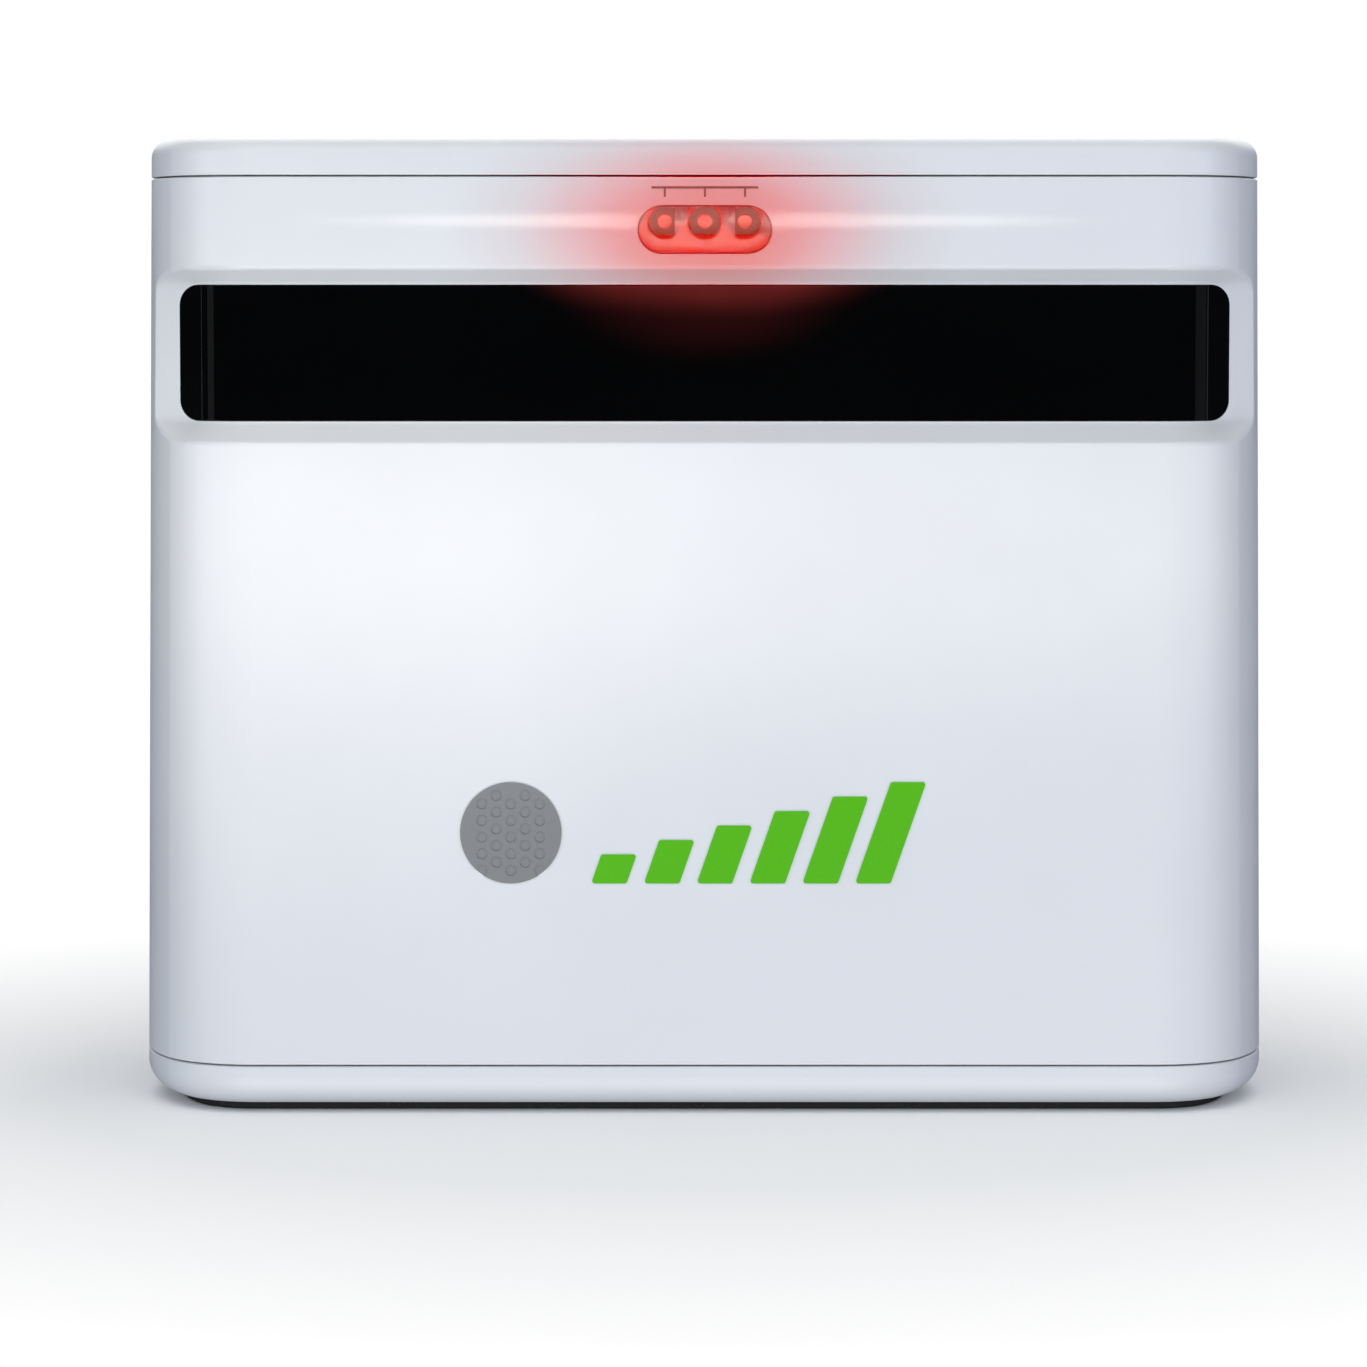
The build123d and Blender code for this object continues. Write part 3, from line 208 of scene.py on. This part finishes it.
def laser_lens():
    """Small red lens, lit from behind, brightest in the middle of each face."""
    f = Finish("laser_lens", (0.75, 0.35, 0.28), 0.15, Emission_Color=(1.0, 0.25, 0.2, 1))
    facing = f.node("ShaderNodeLayerWeight", {"Blend": 0.3}).outputs["Facing"]
    speckle = f.noise(0.12 * MM, 2)
    lit = f.math("MULTIPLY", f.remap(facing, 0, 1, 0.12, 0.04), f.remap(speckle, 0, 1, 0.7, 1.3))
    f.set("Emission Strength", lit)
    f.set("Roughness", f.remap(speckle, 0.2, 0.8, 0.1, 0.25))
    f.bump(speckle, 0.004 * MM)
    return f


def light_guide():
    f = Finish("light_guide", (0.85, 0.88, 0.88), 0.12, Transmission_Weight=0.6, IOR=1.49)
    draw = f.noise(0.8 * MM, 2, (1, 1, 6))
    f.set("Roughness", f.remap(draw, 0.3, 0.7, 0.08, 0.2))
    f.set("Base Color", f.blend(draw, (0.8, 0.83, 0.83), (0.9, 0.92, 0.92)))
    f.bump(draw, 0.01 * MM, 0.4)
    return f


def black_rubber():
    """Matt rubber sheet: pebbled, a little dusty on its raised grain."""
    f = Finish("black_rubber", (0.012, 0.012, 0.013), 0.75, Specular_IOR_Level=0.3)
    pebble = f.cells(0.45 * MM)
    dust = f.noise(9 * MM, 4)
    worn = f.math("MULTIPLY", f.remap(pebble, 0.5, 0.1), f.remap(dust, 0.45, 0.75))
    f.set("Base Color", f.blend(worn, (0.011, 0.011, 0.012), (0.05, 0.048, 0.045)))
    f.set("Roughness", f.remap(dust, 0.3, 0.7, 0.68, 0.85))
    f.bump(pebble, 0.05 * MM, 0.7)
    return f


def black_foam():
    f = Finish("black_foam", (0.02, 0.02, 0.02), 0.95, Specular_IOR_Level=0.1)
    pore = f.cells(0.3 * MM)
    f.set("Base Color", f.blend(f.remap(pore, 0.1, 0.6), (0.035, 0.035, 0.036), (0.01, 0.01, 0.01)))
    f.set("Roughness", f.remap(pore, 0, 1, 0.9, 1.0))
    f.bump(pore, 0.12 * MM)
    return f


def black_plastic():
    """Glass-filled black plastic: dull, faint flow marks, greyed along its edges by wear and by a painted
    edge highlight.
    """
    f = Finish("black_plastic", (0.018, 0.018, 0.02), 0.5)
    flow = f.noise(5 * MM, 3, (1, 1, 3), 0.5)
    edge_wear_and_highlight = f.edges(0.3 * MM)
    dark = f.blend(f.remap(flow, 0.3, 0.7), (0.014, 0.014, 0.015), (0.026, 0.026, 0.028))
    # Edges painted grey: partly wear, partly a painted edge highlight.
    f.set("Base Color", f.blend(f.math("MULTIPLY", edge_wear_and_highlight, 0.6), dark, (0.07, 0.07, 0.072)))
    f.set("Roughness", f.remap(flow, 0.3, 0.7, 0.44, 0.6))
    f.bump(f.noise(0.2 * MM, 2), 0.012 * MM, 0.6)
    return f


def satin_paint(name, color):
    """Paint over a moulded badge: even, with a soft sparkle and rubbed edges painted lighter, partly wear
    and partly a painted edge highlight.
    """
    f = Finish(name, color, 0.4, Specular_IOR_Level=0.25)
    flake = f.cells(0.12 * MM)
    edge_wear_and_highlight = f.edges(0.15 * MM)
    tone = f.blend(f.remap(flake, 0.1, 0.7), shade(color, 1.06), shade(color, 0.94))
    # Edges painted lighter: partly wear, partly a painted edge highlight.
    f.set("Base Color", f.blend(f.math("MULTIPLY", edge_wear_and_highlight, 0.4), tone, shade(color, 1.35)))
    f.set("Roughness", f.remap(f.noise(2 * MM, 2), 0.3, 0.7, 0.3, 0.42))
    f.bump(flake, 0.004 * MM, 0.4)
    return f


def emblem_grey():
    return satin_paint("emblem_grey", (0.27, 0.275, 0.28))


def emblem_green():
    return satin_paint("emblem_green", (0.105, 0.55, 0.004))


def print_grey():
    """Pad-printed ink, thin enough for the grain below it to break up its edges."""
    f = Finish("print_grey", (0.2, 0.14, 0.14), 0.5)
    break_up = f.noise(0.15 * MM, 3)
    f.set("Base Color", f.blend(f.remap(break_up, 0.35, 0.7), (0.19, 0.13, 0.13), (0.34, 0.26, 0.26)))
    f.set("Roughness", f.remap(break_up, 0.3, 0.7, 0.42, 0.58))
    f.bump(break_up, 0.004 * MM, 0.6)
    return f


def circuit_board():
    """Green solder mask over copper: raised tracks, plated holes, and the glass-fibre weave faint under
    the mask.
    """
    f = Finish("circuit_board", (0.01, 0.09, 0.04), 0.3, Coat_Weight=0.3)
    across = f.node(
        "ShaderNodeTexBrick",
        {"Vector": f.place(1.9 * MM, turn=(math.radians(90), 0, 0)), "Scale": 1.0, "Mortar Size": 0.05},
        offset=0.37,
        squash=1.6,
    )
    hole = f.remap(f.cells(2.6 * MM, randomness=0.7), 0.16, 0.13)
    track = f.math("MULTIPLY", across.outputs["Fac"], f.remap(f.noise(6 * MM, 1), 0.42, 0.46))
    weave = f.noise(0.4 * MM, 1, (4, 1, 1))
    mask = f.blend(f.remap(weave, 0.3, 0.7), (0.006, 0.07, 0.028), (0.012, 0.1, 0.045))
    tracked = f.blend(track, mask, (0.05, 0.24, 0.09))
    f.set("Base Color", f.blend(hole, tracked, (0.75, 0.55, 0.2)))
    f.set("Metallic", f.math("MULTIPLY", hole, 0.9))
    f.set("Roughness", f.remap(weave, 0.3, 0.7, 0.24, 0.36))
    f.bump(track, 0.035 * MM)
    f.bump(hole, -0.05 * MM)
    return f


def led_body():
    f = Finish("led_body", (0.82, 0.8, 0.68), 0.2, Coat_Weight=0.6)
    core = f.noise(0.8 * MM, 2)
    f.set("Base Color", f.blend(f.remap(core, 0.4, 0.65), (0.85, 0.84, 0.76), (0.78, 0.7, 0.35)))
    f.set("Roughness", f.remap(core, 0.3, 0.7, 0.12, 0.3))
    f.bump(core, 0.01 * MM, 0.5)
    return f


def ribbon_film():
    """Amber polyimide film with copper conductors showing through as fine parallel lines."""
    f = Finish("ribbon_film", (0.5, 0.24, 0.04), 0.3, Coat_Weight=0.4)
    lines = f.remap(f.bands(0.8 * MM), 0.35, 0.65)
    f.set("Base Color", f.blend(lines, (0.42, 0.19, 0.03), (0.7, 0.36, 0.1)))
    f.set("Roughness", f.remap(f.noise(3 * MM, 2), 0.3, 0.7, 0.22, 0.38))
    f.bump(lines, 0.02 * MM)
    return f


def lead_sleeve():
    f = Finish("lead_sleeve", (0.35, 0.015, 0.012), 0.4)
    tone = f.noise(1.2 * MM, 3)
    f.set("Base Color", f.blend(tone, (0.28, 0.01, 0.008), (0.44, 0.025, 0.02)))
    f.set("Roughness", f.remap(tone, 0.3, 0.7, 0.34, 0.5))
    f.bump(f.noise(0.4 * MM, 2), 0.02 * MM, 0.5)
    return f


def shrink_wrap(name, color, stripe):
    """Heat-shrink film: glossy, a printed stripe along it, and small tension wrinkles."""
    f = Finish(name, color, 0.25, Coat_Weight=0.5)
    wrinkle = f.noise(1.6 * MM, 3, (5, 1, 1), 0.3)
    band = f.remap(f.bands(21 * MM, "X", profile="SAW"), 0.86, 0.88)
    f.set("Base Color", f.blend(band, f.blend(wrinkle, shade(color, 0.8), shade(color, 1.2)), stripe))
    f.set("Roughness", f.remap(wrinkle, 0.3, 0.7, 0.18, 0.34))
    f.bump(wrinkle, 0.05 * MM, 0.6)
    return f


def cell_wrap():
    return shrink_wrap("cell_wrap", (0.03, 0.16, 0.42), (0.02, 0.03, 0.05))


def capacitor_sleeve():
    return shrink_wrap("capacitor_sleeve", (0.015, 0.02, 0.05), (0.55, 0.57, 0.6))


def metal(name, color, roughness, stretch, size=0.25, depth=0.006, edge_wear_and_highlight_gain=1.15, metallic=1.0):
    """Bare metal with tool or rolling marks drawn out one way, and edges painted brighter, partly wear and
    partly a painted edge highlight.
    """
    f = Finish(name, color, roughness, Metallic=metallic)
    marks = f.noise(size * MM, 2, stretch)
    cloud = f.noise(11 * MM, 3)
    edge_wear_and_highlight = f.edges(0.3 * MM)
    tone = f.blend(f.remap(cloud, 0.3, 0.7), shade(color, 0.9), shade(color, 1.04))
    # Edges painted brighter: partly wear, partly a painted edge highlight.
    f.set("Base Color", f.blend(f.math("MULTIPLY", edge_wear_and_highlight, 0.7), tone, shade(color, edge_wear_and_highlight_gain)))
    f.set("Roughness", f.remap(marks, 0.25, 0.75, roughness - 0.08, roughness + 0.1))
    f.bump(marks, depth * MM, 0.7)
    return f


def sheet_steel():
    """Zinc-plated sheet: rolled one way, with the soft spangle of the plating."""
    f = metal("sheet_steel", (0.56, 0.57, 0.58), 0.38, (30, 1, 1))
    f.bump(f.cells(5 * MM), 0.01 * MM, 0.35)
    return f


def bare_aluminium():
    """Milled aluminium: fine parallel cutter marks."""
    f = metal("bare_aluminium", (0.77, 0.78, 0.79), 0.3, (24, 1, 1))
    f.bump(f.bands(0.5 * MM, "Z"), 0.004 * MM, 0.5)
    return f


def black_aluminium():
    # Edges painted much lighter: worn anodise and a painted edge highlight.
    return metal("black_aluminium", (0.035, 0.035, 0.038), 0.4, (12, 1, 12), edge_wear_and_highlight_gain=3.0, metallic=0.35)


def brass():
    return metal("brass", (0.76, 0.56, 0.26), 0.28, (1, 1, 14))


def bright_steel():
    """Nickel plate over turned steel."""
    return metal("bright_steel", (0.66, 0.65, 0.63), 0.22, (6, 6, 1), 0.15, 0.004)


FINISHES = {
    "white_plastic": white_plastic,
    "holder_plastic": holder_plastic,
    "window_plastic": window_plastic,
    "smoked_plastic": smoked_plastic,
    "clear_cover": clear_cover,
    "lens_glass": lens_glass,
    "laser_lens": laser_lens,
    "light_guide": light_guide,
    "black_rubber": black_rubber,
    "black_foam": black_foam,
    "black_plastic": black_plastic,
    "emblem_grey": emblem_grey,
    "emblem_green": emblem_green,
    "print_grey": print_grey,
    "circuit_board": circuit_board,
    "led_body": led_body,
    "ribbon_film": ribbon_film,
    "lead_sleeve": lead_sleeve,
    "cell_wrap": cell_wrap,
    "capacitor_sleeve": capacitor_sleeve,
    "sheet_steel": sheet_steel,
    "bare_aluminium": bare_aluminium,
    "black_aluminium": black_aluminium,
    "brass": brass,
    "bright_steel": bright_steel,
}

made = {slot: finish().material for slot, finish in FINISHES.items()}
for part in frame["record"]["subparts"]:
    piece = nodes[part["node"]]
    for place in piece.material_slots:
        place.material = made[part["material_slot"]]

# ------------------------------------------------------------------ floor
FLOOR_HALF = 3.0
FLOOR_DROP = 0.02 * MM  # keeps it clear of the pad's underside
FLOOR_FADE = (0.1, 0.21)  # the floor turns to plain white between these distances


def make_floor():
    mesh = bpy.data.meshes.new("floor")
    grid = bmesh.new()
    bmesh.ops.create_grid(grid, x_segments=12, y_segments=12, size=FLOOR_HALF)
    grid.to_mesh(mesh)
    grid.free()
    floor = bpy.data.objects.new("floor", mesh)
    bpy.context.scene.collection.objects.link(floor)
    f = Finish("floor_paper", (0.9, 0.9, 0.9), 0.9, Specular_IOR_Level=0.0)
    f.bump(f.noise(0.5 * MM, 2), 0.01 * MM, 0.3)
    away = f.node("ShaderNodeVectorMath", {0: f.space}, operation="LENGTH").outputs["Value"]
    glow = f.node("ShaderNodeEmission", {"Color": (1, 1, 1, 1), "Strength": 1.0})
    mix = f.node("ShaderNodeMixShader", {0: f.remap(away, *FLOOR_FADE)})
    f.tree.links.new(f.shader.outputs[0], mix.inputs[1])
    f.tree.links.new(glow.outputs[0], mix.inputs[2])
    f.tree.links.new(mix.outputs[0], f.tree.nodes["Material Output"].inputs["Surface"])
    mesh.materials.append(f.material)
    floor.location.z = -FLOOR_DROP
    floor.visible_diffuse = False
    floor.visible_glossy = False
    return floor


floor = make_floor()


# ------------------------------------------------------------------ light
FRONT_Y = cad_box[0].y
POOL_DISTANCE = 0.3  # from a pool's lamp to the front face
STRIP_DISTANCE = 1.0
STRIP_HEIGHT = 0.4
WINDOW_HEIGHT = 0.113  # the middle of the window above the floor
APERTURE = (0.0, 0.1325)
WINDOW_GLOW = (0.0, 0.1255)
STREAK = (0.0, 0.1336)
WHITE = (1.0, 1.0, 1.0)
COOL = (0.97, 0.985, 1.0)
RED = (1.0, 0.1, 0.08)
AMBIENT_COLOR = (0.75, 0.86, 1.0, 1)
AMBIENT = 0.16
AMBIENT_REFLECTED = 0.03


def group(name, members):
    made_group = bpy.data.collections.new(name)
    for member in members:
        made_group.objects.link(member)
    return made_group


on_floor = group("lit_floor", [floor])
on_object = group("lit_object", [piece for name, piece in nodes.items() if name != "front_window"])
on_window = group("lit_window", [nodes["front_window"]])
on_aperture = group("lit_aperture", [nodes[name] for name in ("laser_holder", "laser_lenses")])
on_sockets = group("lit_sockets", [nodes[name] for name in ("laser_left", "laser_centre", "laser_right")])
everything = group("lit_all", nodes.values())


def light(name, kind, power, color, receivers):
    data = bpy.data.lights.new(name, kind)
    data.energy = power
    data.color = color
    lamp = bpy.data.objects.new(name, data)
    bpy.context.scene.collection.objects.link(lamp)
    lamp.light_linking.receiver_collection = receivers
    return lamp


def from_direction(azimuth, elevation):
    """Unit vector towards a place: azimuth 0 is the camera's side, 90 the right."""
    a, e = math.radians(azimuth), math.radians(elevation)
    return Vector((math.sin(a) * math.cos(e), -math.cos(a) * math.cos(e), math.sin(e)))


def sun(name, azimuth, elevation, power, spread, color, receivers, blockers=None):
    """Distant soft light; spread is the angle that it fills. If blockers are given, only they shade it."""
    lamp = light(name, "SUN", power, color, receivers)
    lamp.data.angle = math.radians(spread)
    lamp.light_linking.blocker_collection = blockers
    lamp.rotation_euler = from_direction(azimuth, elevation).to_track_quat("Z", "Y").to_euler()


def pool(name, centre, half, power, color, receivers, softness=0.002):
    """Spot in front of the object that lights an elliptical pool on its front face. Centre and half
    sizes are (x, z)."""
    lamp = light(name, "SPOT", power, color, receivers)
    lamp.location = (centre[0], FRONT_Y - POOL_DISTANCE, centre[1])
    lamp.rotation_euler = (math.radians(90), 0, 0)
    lamp.scale = (1, half[1] / half[0], 1)
    lamp.data.spot_size = 2 * math.atan(half[0] / POOL_DISTANCE)
    lamp.data.spot_blend = 1.0
    lamp.data.shadow_soft_size = softness
    lamp.visible_glossy = False


def strip(name, azimuth, power, width):
    """Tall narrow light beside the object that shows as an upright line in the window."""
    lamp = light(name, "AREA", power, WHITE, on_window)
    lamp.data.shape = "RECTANGLE"
    lamp.data.size = width
    lamp.data.size_y = STRIP_HEIGHT
    away = from_direction(azimuth, 0)
    lamp.location = away * STRIP_DISTANCE + Vector((0, 0, WINDOW_HEIGHT))
    lamp.rotation_euler = away.to_track_quat("Z", "Y").to_euler()


# Soft daylight from every side. front_low comes up through the floor, which doesn't block it.
sun("front_high", 0, 40, 0.68, 40, (1.0, 0.99, 0.85), on_object)
sun("front_low", 0, -35, 1.4, 50, COOL, on_object, everything)
sun("side_left", -58, 10, 0.95, 30, (0.75, 0.82, 1.0), on_object)
sun("side_right", 58, 10, 0.88, 30, (0.7, 0.76, 1.0), on_object)
sun("rear_left", -165, 28, 0.55, 40, WHITE, everything)
sun("rear_right", 165, 28, 0.55, 40, WHITE, everything)
sun("rear_top", 180, 62, 1.7, 50, (1.0, 0.95, 0.92), everything)
pool("front_key", (-0.01, 0.088), (0.17, 0.038), 0.65, (1.0, 0.9, 0.74), on_object, 0.02)
pool("front_key_left", (-0.065, 0.09), (0.085, 0.08), 0.46, (1.0, 0.88, 0.7), on_object, 0.02)
sun("floor_top", 0, 90, 1.8, 80, WHITE, on_floor)
sun("floor_front", 0, 50, 0.55, 60, WHITE, on_floor)

# The red halo round the aperture: red is added, green and blue are taken away by negative lights.
pool("glow_red", APERTURE, (0.030, 0.015), 0.65, (1.0, 0.0, 0.0), on_object)
pool("glow_take_wide", APERTURE, (0.042, 0.021), -0.83, (0.2, 0.85, 1.0), on_object)
pool("glow_take", APERTURE, (0.030, 0.015), -1.03, (0.0, 1.0, 0.99), on_object)
pool("glow_take_core", (0.0, 0.1315), (0.019, 0.0125), -0.6, (0.0, 0.76, 1.0), on_object)
pool("glow_cup", APERTURE, (0.022, 0.016), 1.0, (1.0, 0.34, 0.3), on_aperture)
pool("glow_sockets", APERTURE, (0.022, 0.016), 60.0, (1.0, 0.14, 0.07), on_sockets)
pool("glow_window", WINDOW_GLOW, (0.028, 0.0055), 115.0, RED, on_window)
pool("glow_window_wide", WINDOW_GLOW, (0.024, 0.013), 25.0, RED, on_window)
pool("streak", STREAK, (0.066, 0.0014), 1.0, (1.0, 0.92, 0.8), on_object, 0.0006)

# Upright reflections near the ends of the window.
strip("strip_left", -88, 0.1, 0.06)
strip("strip_right", 88, 0.05, 0.06)
strip("strip_left_inner", -73, 0.045, 0.2)
strip("strip_right_inner", 76, 0.045, 0.3)


def make_world():
    """White for the camera, dim for the object's own light, and darker still in its reflections."""
    world = bpy.data.worlds.new("studio")
    world.use_nodes = True
    tree = world.node_tree
    back = tree.nodes["Background"]
    back.inputs["Color"].default_value = AMBIENT_COLOR
    rays = tree.nodes.new("ShaderNodeLightPath")
    glossy = tree.nodes.new("ShaderNodeMapRange")
    glossy.inputs["To Min"].default_value = AMBIENT
    glossy.inputs["To Max"].default_value = AMBIENT_REFLECTED
    tree.links.new(rays.outputs["Is Glossy Ray"], glossy.inputs["Value"])
    white = tree.nodes.new("ShaderNodeBackground")
    pick = tree.nodes.new("ShaderNodeMixShader")
    tree.links.new(glossy.outputs[0], back.inputs["Strength"])
    tree.links.new(rays.outputs["Is Camera Ray"], pick.inputs[0])
    tree.links.new(back.outputs[0], pick.inputs[1])
    white.inputs["Color"].default_value = (1, 1, 1, 1)
    tree.links.new(white.outputs[0], pick.inputs[2])
    tree.links.new(pick.outputs[0], tree.nodes["World Output"].inputs["Surface"])
    bpy.context.scene.world = world


make_world()

# ------------------------------------------------------------------ camera
CAMERA_AT = (-0.00318, -0.8, 0.1218)
CAMERA_PITCH = 4.26  # degrees down
CAMERA_LENS = 135.46
SENSOR = 36.0
view = bpy.data.cameras.new("camera")
view.lens = CAMERA_LENS
view.sensor_width = SENSOR
camera = bpy.data.objects.new("camera", view)
camera.location = CAMERA_AT
camera.rotation_euler = (math.radians(90 - CAMERA_PITCH), 0, 0)
bpy.context.scene.collection.objects.link(camera)
bpy.context.scene.camera = camera
bpy.context.scene.view_settings.view_transform = "Standard"
